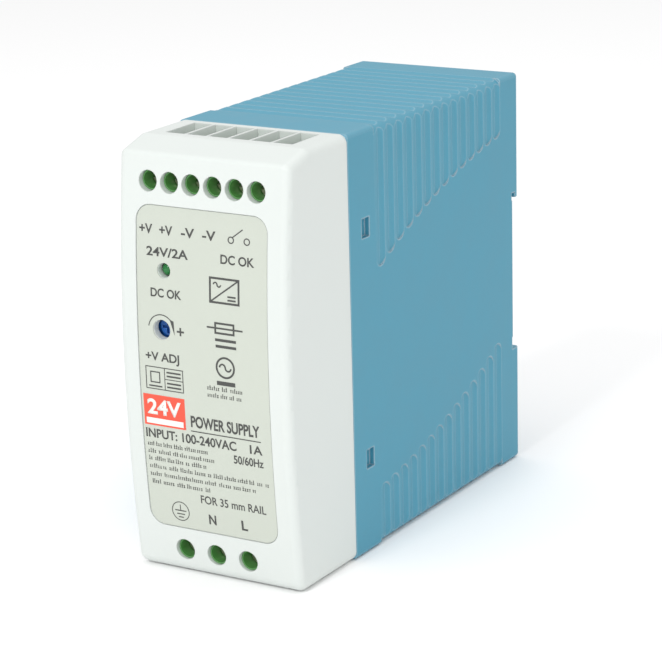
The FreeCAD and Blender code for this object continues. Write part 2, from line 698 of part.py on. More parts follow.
front_board = box("front_board_blank", (-15.9, 15.9),
                  ("front_board_face", "front_board_face + board_thickness"), (3.0, 87.0))
node("front_board", cut("front_board", front_board, board_holes))
main_board = box("main_board_blank", ("main_board_back", "main_board_back + board_thickness"),
                 (-24.4, 43.8), (3.0, 87.0))
node("main_board", cut("main_board", main_board, main_holes))
signal_board = box("signal_board_blank", (-14.5, 11.5),
                   ("signal_board_face", "signal_board_face + board_thickness"), (42.0, 70.0))
lamp_leads = []
for side, offset in (("a", "- 1.27"), ("b", "+ 1.27")):
    x = "lamp_x " + offset
    lamp_leads.append(box("lamp_lead_" + side, (x + " - 0.25", x + " + 0.25"),
                          ("signal_board_face - 2.2", "signal_board_face + board_thickness + 0.8"),
                          ("lamp_z - 0.25", "lamp_z + 0.25")))
    signal_holes.append(box("lamp_lead_hole_" + side, (x + " - 0.3", x + " + 0.3"),
                            ("signal_board_face - 1", "signal_board_face + 3"),
                            ("lamp_z - 0.3", "lamp_z + 0.3")))
node("signal_board", cut("signal_board", signal_board, signal_holes))

lamp_axis = ("lamp_x", "lamp_z")
dome = doc.addObject("Part::Sphere", "lamp_dome")
bind(dome, "Radius", cell("lamp_radius", 1.4))
bind(dome, "Placement.Base.x", "lamp_x")
bind(dome, "Placement.Base.y", "signal_board_face - 5.6")
bind(dome, "Placement.Base.z", "lamp_z")
node("status_led", fuse("status_led", [
    dome,
    cylinder("lamp_barrel", "y", lamp_axis, "signal_board_face - 5.6", "signal_board_face - 1.6",
             "lamp_radius"),
    cylinder("lamp_collar", "y", lamp_axis, "signal_board_face - 2.4", "signal_board_face - 1.6", 1.6)]
    + lamp_leads))

knob_axis = ("trimmer_x", "trimmer_z")
trimmer_block = box("trimmer_block", ("trimmer_x - 3.3", "trimmer_x + 3.3"),
                    ("signal_board_face - 4.8", "signal_board_face"), ("trimmer_z - 3.5", "trimmer_z + 3.5"))
rotor_seat = cylinder("trimmer_seat", "y", knob_axis, "signal_board_face - 6", "signal_board_face - 3.6", 2.1)
node("trimmer_body", cut("trimmer_body", trimmer_block, [rotor_seat]))
dial = cylinder("trimmer_dial", "y", knob_axis, "signal_board_face - 5.8", "signal_board_face - 3.7", 1.8)
slot_depth = ("signal_board_face - 6.5", "signal_board_face - 5.1")
dial_slot = box("trimmer_dial_slot", ("trimmer_x - 1.4", "trimmer_x + 1.4"), slot_depth,
                ("trimmer_z - 0.3", "trimmer_z + 0.3"))
dial_cross = box("trimmer_dial_cross", ("trimmer_x - 0.3", "trimmer_x + 0.3"), slot_depth,
                 ("trimmer_z - 1.4", "trimmer_z + 1.4"))
node("trimmer_rotor", cut("trimmer_rotor", dial, [dial_slot, dial_cross]))


# ---- converter parts on the main board ----

deck = "main_board_back + board_thickness"


def disc_part(name, y, z, radius, thickness):
    """A lacquered disc standing on two leads, its faces across Y."""
    body = cylinder(name + "_disc", "y", ("%s + 1 + (%.1f)" % (deck, radius), z), y, y + thickness, radius)
    leads = []
    for tag, offset in (("a", -2.5), ("b", 2.5)):
        leads.append(cylinder("%s_lead_%s" % (name, tag), "x", (y + thickness / 2, z + offset),
                              deck, "%s + 4" % deck, 0.35))
    return node(name, fuse(name, [body] + leads))


def toroid(name, centre, core, height, winding, gap):
    """A ring core on edge to the board with its winding in two halves."""
    low = "%s + 1.3" % deck
    high = "%s + %.1f" % (deck, 1.3 + height)
    core_cut = cut(name + "_core", cylinder(name + "_ring", "x", centre, low, high, core[0]),
                   [cylinder(name + "_bore", "x", centre, "%s - 1" % low, "%s + 1" % high, core[1])])
    shell = cut(name + "_shell",
                cylinder(name + "_outer", "x", centre, "%s - 1.2" % low, "%s + 1.2" % high, winding[0]),
                [cylinder(name + "_inner", "x", centre, "%s - 3" % low, "%s + 3" % high, winding[1]),
                 box(name + "_split", ("%s - 3" % low, "%s + 3" % high),
                     (centre[0] - 15, centre[0] + 15), (centre[1] - gap, centre[1] + gap))])
    void = cut(name + "_void",
               cylinder(name + "_void_outer", "x", centre, "%s - 0.05" % low, "%s + 0.05" % high,
                        core[0] + 0.05),
               [cylinder(name + "_void_inner", "x", centre, "%s - 1" % low, "%s + 1" % high, core[1] - 0.05)])
    return core_cut, cut(name + "_windings", shell, [void])


def power_package(name, y, z, side):
    """A tab-mounted device on the side (1 for +Y, -1 for -Y) of a heatsink face at y."""
    def span(low, high):
        ends = sorted((y + side * low, y + side * high))
        return ends[0], ends[1]
    body = box(name + "_case", ("%s + 6" % deck, "%s + 15" % deck), span(0, 4.4), (z - 5.0, z + 5.0))
    tab = box(name + "_tab", ("%s + 14" % deck, "%s + 21" % deck), span(0, 1.3), (z - 5.0, z + 5.0))
    legs = [box("%s_leg_%d" % (name, i), (deck, "%s + 7" % deck), span(2.2, 2.8),
                (z - 0.4 + 2.54 * (i - 1), z + 0.4 + 2.54 * (i - 1))) for i in range(3)]
    low, high = span(-1, 3)
    hole = cylinder(name + "_hole", "y", ("%s + 18" % deck, z), low, high, 1.6)
    return node(name, cut(name, fuse(name + "_blank", [body, tab] + legs), [hole]))


def heatsink(name, y, z_low, z_high, hole_z):
    """A flat aluminium plate with two bent edges that stand on the board."""
    plate = box(name + "_plate", (deck, "%s + 28" % deck), (y, y + 2.0), (z_low, z_high))
    hole = cylinder(name + "_hole", "y", ("%s + 18" % deck, hole_z), y - 1.0, y + 3.0, 1.6)
    return plate, hole


fuse_tube = cylinder("fuse_tube", "y", ("%s + 2.6" % deck, 8.5), -20.0, -4.0, 2.3)
fuse_caps = [cylinder("fuse_cap_a", "y", ("%s + 2.6" % deck, 8.5), -22.0, -17.0, 2.6),
             cylinder("fuse_cap_b", "y", ("%s + 2.6" % deck, 8.5), -7.0, -2.0, 2.6)]
node("fuse", fuse("fuse", [fuse_tube] + fuse_caps))
disc_part("inrush_thermistor", 4.0, 9.8, 5.0, 4.5)
disc_part("varistor", 11.0, 9.8, 5.0, 3.5)
disc_part("y_capacitor", 30.0, 56.0, 4.0, 3.2)
node("x_capacitor", box("x_capacitor", (deck, "%s + 15" % deck), (18.0, 36.0), (5.0, 13.0)))
line_core, line_windings = toroid("line_choke", (-10.7, 30.0), (8.0, 4.5), 7.0, (9.1, 3.3), 1.4)
node("line_choke_core", line_core)
node("line_choke_windings", line_windings)
node("bridge_rectifier", box("bridge_rectifier", (deck, "%s + 10.8" % deck), (0.0, 15.0), (17.5, 21.5)))
bulk = cylinder("bulk_can", "x", (30.0, 32.0), "%s + 0.2" % deck, "%s + 29.8" % deck, 8.8)
bulk_groove = cut("bulk_groove", cylinder("bulk_groove_outer", "x", (30.0, 32.0), "%s + 2.4" % deck,
                                          "%s + 3.6" % deck, 9.5),
                  [cylinder("bulk_groove_inner", "x", (30.0, 32.0), "%s + 2" % deck, "%s + 4" % deck, 8.3)])
node("bulk_capacitor", cut("bulk_capacitor", bulk, [bulk_groove]))

plate, hole = heatsink("primary_sink", 18.0, 42.0, 64.0, 53.0)
flange = box("primary_sink_flange", ("%s + 26" % deck, "%s + 28" % deck), (18.0, 26.0), (42.0, 64.0))
node("primary_heatsink", cut("primary_heatsink", fuse("primary_sink_blank", [plate, flange]), [hole]))
power_package("switching_transistor", 20.0, 53.0, 1)
plate, hole = heatsink("output_sink", 40.0, 66.0, 85.5, 76.0)
flange = box("output_sink_flange", ("%s + 26" % deck, "%s + 28" % deck), (32.0, 42.0), (66.0, 85.5))
node("output_heatsink", cut("output_heatsink", fuse("output_sink_blank", [plate, flange]), [hole]))
power_package("output_rectifier", 40.0, 76.0, -1)
screws = []
for tag, face, z, side in (("a", 20.0, 53.0, 1), ("b", 40.0, 76.0, -1)):
    ends = sorted((face + side * 1.3, face + side * 3.3))
    shank = sorted((face - side * 2.4, face + side * 1.5))
    screws.append(fuse("sink_screw_" + tag, [
        cylinder("sink_screw_head_" + tag, "y", ("%s + 18" % deck, z), ends[0], ends[1], 2.7),
        cylinder("sink_screw_shank_" + tag, "y", ("%s + 18" % deck, z), shank[0], shank[1], 1.5)]))
node("heatsink_screws", group("heatsink_screws", screws))

core_block = box("transformer_block", ("%s + 1.8" % deck, "%s + 20.8" % deck), (0.5, 7.5), (39.5, 64.5))
windows = [box("transformer_window_a", ("%s + 5.3" % deck, "%s + 17.3" % deck), (-1.0, 9.0), (43.0, 48.5)),
           box("transformer_window_b", ("%s + 5.3" % deck, "%s + 17.3" % deck), (-1.0, 9.0), (55.5, 61.0))]
node("transformer_core", cut("transformer_core", core_block, windows))
bobbin_low = "%s + 5.4" % deck
bobbin_high = "%s + 17.2" % deck
sleeve = box("bobbin_sleeve", (bobbin_low, bobbin_high), (-0.3, 8.3), (47.7, 56.3))
flanges = [box("bobbin_flange_a", (bobbin_low, "%s + 1" % bobbin_low), (-6.0, 14.0), (43.2, 60.8)),
           box("bobbin_flange_b", ("%s - 1" % bobbin_high, bobbin_high), (-6.0, 14.0), (43.2, 60.8))]
feet = [box("bobbin_foot_a", (deck, "%s + 0.5" % bobbin_low), (-6.0, -2.5), (43.2, 60.8)),
        box("bobbin_foot_b", (deck, "%s + 0.5" % bobbin_low), (10.5, 14.0), (43.2, 60.8))]
leg_hole = box("bobbin_hole", ("%s - 1" % bobbin_low, "%s + 1" % bobbin_high), (0.4, 7.6), (48.4, 55.6))
bobbin = fuse("bobbin_blank", [sleeve] + flanges + feet)
node("transformer_bobbin", cut("transformer_bobbin", bobbin, [leg_hole]))
coil = box("winding_block", ("%s + 1" % bobbin_low, "%s - 1" % bobbin_high), (-5.2, 13.2), (43.6, 60.4))
node("transformer_winding", cut("transformer_winding", coil, [
    box("winding_hole", ("%s + 0.5" % bobbin_low, "%s - 0.5" % bobbin_high), (-0.3, 8.3), (47.7, 56.3))]))

choke_core, choke_winding = toroid("output_choke", (21.5, 76.5), (6.5, 3.6), 6.5, (7.6, 2.4), 0.8)
node("output_choke_core", choke_core)
node("output_choke_winding", choke_winding)
cans = [cylinder("output_can_%d" % (i + 1), "x", (-17.0 + 11.0 * i, 80.0), "%s + 0.2" % deck,
                 "%s + 20" % deck, 4.9) for i in range(3)]
node("output_capacitors", group("output_capacitors", cans))
chips = [box("optocoupler_%d" % (i + 1), ("%s + 0.5" % deck, "%s + 4" % deck), (-20.0, -13.5),
             (42.0 + 6.0 * i, 46.6 + 6.0 * i)) for i in range(2)]
chip_legs = [box("optocoupler_%d_legs" % (i + 1), (deck, "%s + 2.2" % deck), (-20.4, -13.1),
                 (43.0 + 6.0 * i, 45.6 + 6.0 * i)) for i in range(2)]
node("optocouplers", group("optocouplers", [fuse("optocoupler_%d_whole" % (i + 1), [chips[i], chip_legs[i]])
                                            for i in range(2)]))
node("control_ic", fuse("control_ic", [
    box("control_chip", ("%s + 0.4" % deck, "%s + 3.7" % deck), (-12.0, -8.0), (40.0, 50.0)),
    box("control_chip_legs", (deck, "%s + 1.8" % deck), (-12.5, -7.5), (40.8, 49.2))]))
node("alarm_relay", box("alarm_relay", (deck, "%s + 11" % deck), (-19.7, -6.7), (56.5, 63.5)))
node("insulation_sheet", box("insulation_sheet", ("0 - cavity_half + 0.1", "0 - cavity_half + 0.5"),
                             (-14.0, 44.6), (4.8, 85.2)))


# ---- check and write ----

doc.removeObject(scratch.Name)
doc.recompute()
for item in doc.Objects:
    if "Invalid" in item.State or "Error" in item.State:
        raise RuntimeError("%s did not recompute: %s" % (item.Name, item.State))
for name, item in nodes.items():
    shape = item.Shape
    if shape.isNull() or not shape.isValid() or shape.Volume <= 0:
        raise RuntimeError("%s has no valid shape" % name)
    if name != item.Label or len(name) >= 60:
        raise RuntimeError("%s is not labelled with its own name" % name)
if len(nodes) > 60:
    raise RuntimeError("%d sub-parts are more than 60" % len(nodes))

os.makedirs("parts", exist_ok=True)
for name, item in nodes.items():
    item.Shape.exportStep("parts/%s.step" % name)
print("%d sub-parts written" % len(nodes))
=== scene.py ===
import math
import random

import bmesh
import bpy
from mathutils import Matrix, Vector


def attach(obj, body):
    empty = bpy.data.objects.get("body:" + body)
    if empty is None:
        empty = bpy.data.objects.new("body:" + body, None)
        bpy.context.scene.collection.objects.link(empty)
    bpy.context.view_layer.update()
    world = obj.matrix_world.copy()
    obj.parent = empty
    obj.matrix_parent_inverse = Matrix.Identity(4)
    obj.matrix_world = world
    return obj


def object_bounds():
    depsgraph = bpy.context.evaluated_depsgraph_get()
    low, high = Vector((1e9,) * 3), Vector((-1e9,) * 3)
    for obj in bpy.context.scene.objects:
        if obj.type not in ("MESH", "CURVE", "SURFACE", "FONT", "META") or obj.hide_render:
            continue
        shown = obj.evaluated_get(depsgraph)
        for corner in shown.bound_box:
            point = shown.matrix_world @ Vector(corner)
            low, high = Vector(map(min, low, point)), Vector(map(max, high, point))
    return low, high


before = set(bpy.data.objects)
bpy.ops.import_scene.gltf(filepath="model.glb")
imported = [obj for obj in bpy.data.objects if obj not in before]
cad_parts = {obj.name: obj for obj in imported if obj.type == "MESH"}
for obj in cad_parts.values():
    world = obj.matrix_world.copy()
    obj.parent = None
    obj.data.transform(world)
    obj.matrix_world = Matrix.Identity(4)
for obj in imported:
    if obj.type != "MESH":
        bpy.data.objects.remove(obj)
CAD_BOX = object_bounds()

bl_info = {
    "name": "Rail Power Supply",
    "version": (1, 0, 0),
    "blender": (4, 5, 0),
    "location": "View3D > Sidebar > Power Supply",
    "description": "Finishes, printed legends and a studio for a DIN rail power supply",
    "category": "Object",
}

MM = 0.001
HALF_HEIGHT = (CAD_BOX[0].z + CAD_BOX[1].z) / 2
FACE_FRONT = CAD_BOX[0].y
FACE_BOW = 3.0 * MM
FACE_RADIUS = (FACE_BOW ** 2 + HALF_HEIGHT ** 2) / (2 * FACE_BOW)
LABEL_SETBACK = 0.15 * MM
EDGE_MASK_GAIN = 2.2
EDGE_GLOSS = 0.35
DUST_ROUGHNESS = 0.6
DUST_COLOUR = (0.70, 0.68, 0.64, 1.0)
FONT_CAP = 0.69
SMALL_PRINT_SEED = 7
STROKE_GAP = 0.16
WORD_GAP = 0.42
KEY_PLACE = (-0.02, -0.92, 0.78)
FILL_PLACE = (0.60, -0.85, 0.40)
TOP_PLACE = (0.05, 0.15, 0.95)
FLOOR_HALF = 4.0
FLOOR_GAP = 0.0002
BLACK_PRINT = "black ink"
RED_PRINT = "red ink"
PALE_PRINT = "pale ink"


# ---- settings ----

def colour(name, description, default):
    return bpy.props.FloatVectorProperty(name=name, description=description, subtype="COLOR",
                                         size=3, min=0.0, max=1.0, default=default)


def length(name, description, default):
    return bpy.props.FloatProperty(name=name, description=description, unit="LENGTH", subtype="DISTANCE",
                                   default=default, precision=5)


def share(name, description, default):
    return bpy.props.FloatProperty(name=name, description=description, subtype="FACTOR",
                                   min=0.0, max=1.0, default=default)


def angle(name, description, degrees):
    return bpy.props.FloatProperty(name=name, description=description, subtype="ANGLE",
                                   default=math.radians(degrees))


class SupplyShellSettings(bpy.types.PropertyGroup):
    """Colours and surface of the moulded shells."""
    case_colour: colour("Case", "Moulded colour of the rear case", (0.066, 0.285, 0.398))
    cover_colour: colour("Cover", "Moulded colour of the front cover", (0.655, 0.692, 0.670))
    latch_colour: colour("Latch", "Moulded colour of the rail latch", (0.030, 0.033, 0.036))
    terminal_colour: colour("Terminals", "Moulded colour of the terminal housings", (0.078, 0.290, 0.062))
    case_roughness: share("Case roughness", "Roughness of the rear case", 0.50)
    cover_roughness: share("Cover roughness", "Roughness of the front cover", 0.42)
    grain_size: length("Grain size", "Size of the eroded grain left by the mould", 0.00028)
    edge_radius: length("Edge radius", "Softening of moulded edges", 0.00030)


class SupplyPrintSettings(bpy.types.PropertyGroup):
    """The printed label."""
    label_colour: colour("Label", "Ground colour of the label", (0.525, 0.560, 0.495))
    ink_colour: colour("Ink", "Colour of the legends", (0.060, 0.062, 0.058))
    red_colour: colour("Red block", "Colour of the filled block", (0.790, 0.085, 0.045))
    ink_thickness: length("Ink thickness", "Height of the print above the label", 0.00003)
    ink_lift: length("Ink lift", "Gap that keeps the print clear of the label", 0.00001)


class SupplyStageSettings(bpy.types.PropertyGroup):
    """Camera and studio."""
    azimuth: angle("Azimuth", "Camera's turn to the right of the front", 31.1)
    elevation: angle("Elevation", "Camera's height above the horizon", 16.0)
    roll: angle("Roll", "Camera's roll", -1.5)
    distance: length("Distance", "Camera's distance from the middle of the supply", 0.5428)
    aside: length("Aside", "Camera's move to its own right", 0.0)
    raised: length("Raised", "Camera's move upwards in its own frame", -0.00437)
    lens: bpy.props.FloatProperty(name="Lens", description="Focal length in millimetres", default=137.1)
    key_power: bpy.props.FloatProperty(name="Key light", description="Power of the key light in watts",
                                       unit="POWER", default=3.9)
    fill_power: bpy.props.FloatProperty(name="Fill light", description="Power of the fill light in watts",
                                        unit="POWER", default=1.6)
    room_light: bpy.props.FloatProperty(name="Room light", description="Strength of the light all round",
                                        default=0.84, min=0.0)
    floor_colour: colour("Floor", "Colour of the floor", (0.98, 0.98, 0.98))


def settings():
    scene = bpy.context.scene
    return scene.supply_shell, scene.supply_print, scene.supply_stage


# ---- node groups shared by the finishes ----

def new_group(name, inputs, outputs):
    """A node group with named sockets; each input is (name, kind, default)."""
    group = bpy.data.node_groups.new(name, "ShaderNodeTree")
    for label, kind, default in inputs:
        socket = group.interface.new_socket(name=label, in_out="INPUT", socket_type=kind)
        socket.default_value = default
    for label, kind in outputs:
        group.interface.new_socket(name=label, in_out="OUTPUT", socket_type=kind)
    source = group.nodes.new("NodeGroupInput")
    sink = group.nodes.new("NodeGroupOutput")
    return group, source, sink


def add_node(tree, kind, links=(), **values):
    """A node with its properties set and its inputs fed from other nodes' sockets or values."""
    made = tree.nodes.new(kind)
    for name, value in values.items():
        setattr(made, name, value)
    for socket, source in links:
        if isinstance(source, bpy.types.NodeSocket):
            tree.links.new(source, made.inputs[socket])
        else:
            made.inputs[socket].default_value = source
    return made


def math_node(tree, operation, first, second, clamp=False):
    return add_node(tree, "ShaderNodeMath", ((0, first), (1, second)),
                    operation=operation, use_clamp=clamp).outputs[0]


def noise(tree, vector, scale, detail=2.0, roughness=0.5):
    return add_node(tree, "ShaderNodeTexNoise",
                    (("Vector", vector), ("Scale", scale), ("Detail", detail), ("Roughness", roughness)))


def blend_colour(tree, factor, first, second, mode="MIX"):
    mix = add_node(tree, "ShaderNodeMix", data_type="RGBA", blend_type=mode)
    for socket, source in ((0, factor), (6, first), (7, second)):
        if isinstance(source, bpy.types.NodeSocket):
            tree.links.new(source, mix.inputs[socket])
        else:
            mix.inputs[socket].default_value = source
    return mix.outputs[2]


def moulded_grain_group():
    """Eroded mould texture: fine pits, a slow waviness, faint flow mottling in colour and gloss."""
    name = "Moulded grain"
    if name in bpy.data.node_groups:
        return bpy.data.node_groups[name]
    group, source, sink = new_group(
        name,
        (("Colour", "NodeSocketColor", (0.5, 0.5, 0.5, 1.0)),
         ("Grain per metre", "NodeSocketFloat", 3500.0),
         ("Mottle", "NodeSocketFloat", 0.05),
         ("Roughness", "NodeSocketFloat", 0.5)),
        (("Colour", "NodeSocketColor"), ("Roughness", "NodeSocketFloat"), ("Height", "NodeSocketFloat")))
    place = add_node(group, "ShaderNodeTexCoord").outputs["Object"]
    pits = add_node(group, "ShaderNodeTexVoronoi", (("Vector", place), ("Randomness", 1.0)),
                    feature="SMOOTH_F1")
    group.links.new(source.outputs["Grain per metre"], pits.inputs["Scale"])
    fine = noise(group, place, 9000.0, 2.0).outputs["Fac"]
    slow = noise(group, place, 90.0, 3.0, 0.6).outputs["Fac"]
    cloud = noise(group, place, 420.0, 4.0, 0.65).outputs["Fac"]
    height = math_node(group, "MULTIPLY", pits.outputs["Distance"], 0.75)
    height = math_node(group, "ADD", height, math_node(group, "MULTIPLY", fine, 0.35))
    group.links.new(height, sink.inputs["Height"])
    shade = math_node(group, "ADD", math_node(group, "MULTIPLY", slow, 0.6),
                      math_node(group, "MULTIPLY", cloud, 0.4))
    shade = math_node(group, "SUBTRACT", shade, 0.5)
    tone = math_node(group, "MULTIPLY", shade, source.outputs["Mottle"])
    tone = math_node(group, "ADD", math_node(group, "MULTIPLY", tone, 2.0), 1.0)
    toned = add_node(group, "ShaderNodeVectorMath", ((0, source.outputs["Colour"]),), operation="SCALE")
    group.links.new(tone, toned.inputs["Scale"])
    group.links.new(toned.outputs[0], sink.inputs["Colour"])
    rough = math_node(group, "ADD", source.outputs["Roughness"], math_node(group, "MULTIPLY", shade, 0.22))
    group.links.new(rough, sink.inputs["Roughness"])
    return group


def edge_highlight_group():
    """A mask that is 1 along convex and concave edges, found by comparing a rounded normal; the finishes
    use it to paint highlights.
    """
    name = "Edge polish"
    if name in bpy.data.node_groups:
        return bpy.data.node_groups[name]
    group, source, sink = new_group(
        name, (("Radius", "NodeSocketFloat", 0.0003),),
        (("Mask", "NodeSocketFloat"), ("Normal", "NodeSocketVector")))
    rounded = add_node(group, "ShaderNodeBevel", samples=6)
    group.links.new(source.outputs["Radius"], rounded.inputs["Radius"])
    plain = add_node(group, "ShaderNodeNewGeometry").outputs["Normal"]
    dot = add_node(group, "ShaderNodeVectorMath", ((0, rounded.outputs[0]), (1, plain)),
                   operation="DOT_PRODUCT").outputs["Value"]
    away = math_node(group, "MAXIMUM", math_node(group, "SUBTRACT", 1.0, dot), 0.0)
    spread = math_node(group, "POWER", away, 0.5)
    mask = math_node(group, "MULTIPLY", spread, EDGE_MASK_GAIN, clamp=True)
    group.links.new(mask, sink.inputs["Mask"])
    group.links.new(rounded.outputs[0], sink.inputs["Normal"])
    return group


def settled_dust_group():
    """Faint dust on upward faces, broken up by noise."""
    name = "Settled dust"
    if name in bpy.data.node_groups:
        return bpy.data.node_groups[name]
    group, source, sink = new_group(name, (("Amount", "NodeSocketFloat", 0.1),),
                                    (("Mask", "NodeSocketFloat"),))
    normal = add_node(group, "ShaderNodeNewGeometry").outputs["Normal"]
    up = add_node(group, "ShaderNodeSeparateXYZ", ((0, normal),)).outputs["Z"]
    up = math_node(group, "MAXIMUM", up, 0.0)
    up = math_node(group, "POWER", up, 2.0)
    place = add_node(group, "ShaderNodeTexCoord").outputs["Object"]
    patch = noise(group, place, 260.0, 5.0, 0.7).outputs["Fac"]
    speck = noise(group, place, 5200.0, 1.0, 0.5).outputs["Fac"]
    cover = math_node(group, "MULTIPLY", patch, math_node(group, "ADD", speck, 0.4))
    mask = math_node(group, "MULTIPLY", math_node(group, "MULTIPLY", up, cover), source.outputs["Amount"],
                     clamp=True)
    group.links.new(mask, sink.inputs["Mask"])
    return group


def drawn_metal_group():
    """Fine drawn or turned lines in metal, with a slight tarnish."""
    name = "Drawn metal"
    if name in bpy.data.node_groups:
        return bpy.data.node_groups[name]
    group, source, sink = new_group(
        name,
        (("Colour", "NodeSocketColor", (0.7, 0.7, 0.7, 1.0)), ("Tarnish", "NodeSocketFloat", 0.3),
         ("Roughness", "NodeSocketFloat", 0.3)),
        (("Colour", "NodeSocketColor"), ("Roughness", "NodeSocketFloat"), ("Height", "NodeSocketFloat")))
    place = add_node(group, "ShaderNodeTexCoord").outputs["Object"]
    stretched = add_node(group, "ShaderNodeVectorMath", ((0, place), (1, (1.0, 0.08, 1.0))),
                         operation="MULTIPLY").outputs[0]
    lines = noise(group, stretched, 8000.0, 2.0).outputs["Fac"]
    stain = noise(group, place, 700.0, 4.0, 0.6).outputs["Fac"]
    dark = blend_colour(group, 0.55, source.outputs["Colour"], (0.18, 0.14, 0.09, 1.0))
    amount = math_node(group, "MULTIPLY", math_node(group, "POWER", stain, 2.0), source.outputs["Tarnish"],
                       clamp=True)
    toned = blend_colour(group, amount, source.outputs["Colour"], dark)
    group.links.new(toned, sink.inputs["Colour"])
    rough = math_node(group, "ADD", source.outputs["Roughness"], math_node(group, "MULTIPLY", stain, 0.2))
    group.links.new(rough, sink.inputs["Roughness"])
    group.links.new(lines, sink.inputs["Height"])
    return group


# ---- materials ----

def start_material(name):
    material = bpy.data.materials.new(name)
    material.use_nodes = True
    shader = material.node_tree.nodes["Principled BSDF"]
    return material, material.node_tree, shader


def place_group(tree, group, **values):
    made = tree.nodes.new("ShaderNodeGroup")
    made.node_tree = group
    for name, value in values.items():
        made.inputs[name.replace("_", " ")].default_value = value
    return made


def full(rgb):
    return (rgb[0], rgb[1], rgb[2], 1.0)


def moulded_plastic(name, rgb, roughness=0.5, grain=3500.0, mottle=0.05, depth=0.010, radius=0.0003,
                    painted_highlight=0.30, dust=0.10, coat=0.0, specular=0.45):
    """Moulded plastic: eroded grain, softened edges that are glossier and carry a painted highlight of a
    paler colour, thin dust.
    """
    material, tree, shader = start_material(name)
    surface = place_group(tree, moulded_grain_group(), Colour=full(rgb), Mottle=mottle, Roughness=roughness)
    surface.inputs["Grain per metre"].default_value = grain
    edges = place_group(tree, edge_highlight_group(), Radius=radius)
    # Painted highlight: edges and rib crests are blended towards a paler colour; they are also made
    # glossier.
    highlight_mask = math_node(tree, "MULTIPLY", edges.outputs["Mask"], painted_highlight)
    pale = tuple(min(1.0, c * 0.62 + 0.36) for c in rgb)
    tone = blend_colour(tree, highlight_mask, surface.outputs["Colour"], full(pale))
    layer = place_group(tree, settled_dust_group(), Amount=dust)
    tone = blend_colour(tree, layer.outputs["Mask"], tone, DUST_COLOUR)
    tree.links.new(tone, shader.inputs["Base Color"])
    gloss = math_node(tree, "SUBTRACT", surface.outputs["Roughness"],
                      math_node(tree, "MULTIPLY", highlight_mask, EDGE_GLOSS))
    matt = math_node(tree, "MULTIPLY", layer.outputs["Mask"], DUST_ROUGHNESS)
    gloss = math_node(tree, "ADD", gloss, matt, clamp=True)
    tree.links.new(gloss, shader.inputs["Roughness"])
    bump = add_node(tree, "ShaderNodeBump", (("Strength", 0.35), ("Distance", depth * MM)))
    tree.links.new(surface.outputs["Height"], bump.inputs["Height"])
    tree.links.new(edges.outputs["Normal"], bump.inputs["Normal"])
    tree.links.new(bump.outputs[0], shader.inputs["Normal"])
    shader.inputs["Specular IOR Level"].default_value = specular
    shader.inputs["Coat Weight"].default_value = coat
    shader.inputs["Coat Roughness"].default_value = 0.15
    return material


def plated_metal(name, rgb, roughness=0.25, tarnish=0.35, depth=0.004, radius=0.00008):
    material, tree, shader = start_material(name)
    surface = place_group(tree, drawn_metal_group(), Colour=full(rgb), Tarnish=tarnish, Roughness=roughness)
    edges = place_group(tree, edge_highlight_group(), Radius=radius)
    # Painted highlight: edges are blended towards a brighter colour.
    bright = tuple(min(1.0, c * 1.15 + 0.05) for c in rgb)
    tone = blend_colour(tree, math_node(tree, "MULTIPLY", edges.outputs["Mask"], 0.6),
                        surface.outputs["Colour"], full(bright))
    tree.links.new(tone, shader.inputs["Base Color"])
    tree.links.new(surface.outputs["Roughness"], shader.inputs["Roughness"])
    bump = add_node(tree, "ShaderNodeBump", (("Strength", 0.4), ("Distance", depth * MM)))
    tree.links.new(surface.outputs["Height"], bump.inputs["Height"])
    tree.links.new(edges.outputs["Normal"], bump.inputs["Normal"])
    tree.links.new(bump.outputs[0], shader.inputs["Normal"])
    shader.inputs["Metallic"].default_value = 1.0
    return material


def printed_ink(name, rgb):
    """Screen ink: slightly uneven cover and a satin surface."""
    material, tree, shader = start_material(name)
    surface = place_group(tree, moulded_grain_group(), Colour=full(rgb), Mottle=0.10, Roughness=0.48)
    surface.inputs["Grain per metre"].default_value = 12000.0
    tree.links.new(surface.outputs["Colour"], shader.inputs["Base Color"])
    tree.links.new(surface.outputs["Roughness"], shader.inputs["Roughness"])
    return material


def label_film(rgb):
    """Satin film: very fine orange peel, faint fibre mottling and a thin coat."""
    material, tree, shader = start_material("label film")
    surface = place_group(tree, moulded_grain_group(), Colour=full(rgb), Mottle=0.025, Roughness=0.40)
    surface.inputs["Grain per metre"].default_value = 5200.0
    tree.links.new(surface.outputs["Colour"], shader.inputs["Base Color"])
    tree.links.new(surface.outputs["Roughness"], shader.inputs["Roughness"])
    bump = add_node(tree, "ShaderNodeBump", (("Strength", 0.15), ("Distance", 0.006 * MM)))
    tree.links.new(surface.outputs["Height"], bump.inputs["Height"])
    tree.links.new(bump.outputs[0], shader.inputs["Normal"])
    shader.inputs["Coat Weight"].default_value = 0.15
    shader.inputs["Coat Roughness"].default_value = 0.30
    return material


def tinted_resin(rgb):
    """The lamp's cast resin: clear edges over a dark tinted body, with faint casting swirls."""
    material, tree, shader = start_material("lamp resin")
    place = add_node(tree, "ShaderNodeTexCoord").outputs["Object"]
    swirl = noise(tree, place, 1500.0, 2.0).outputs["Fac"]
    tone = blend_colour(tree, swirl, full(rgb), full(tuple(c * 1.8 for c in rgb)))
    tree.links.new(tone, shader.inputs["Base Color"])
    rough = math_node(tree, "ADD", math_node(tree, "MULTIPLY", swirl, 0.06), 0.05)
    tree.links.new(rough, shader.inputs["Roughness"])
    shader.inputs["Transmission Weight"].default_value = 0.25
    shader.inputs["IOR"].default_value = 1.5
    return material


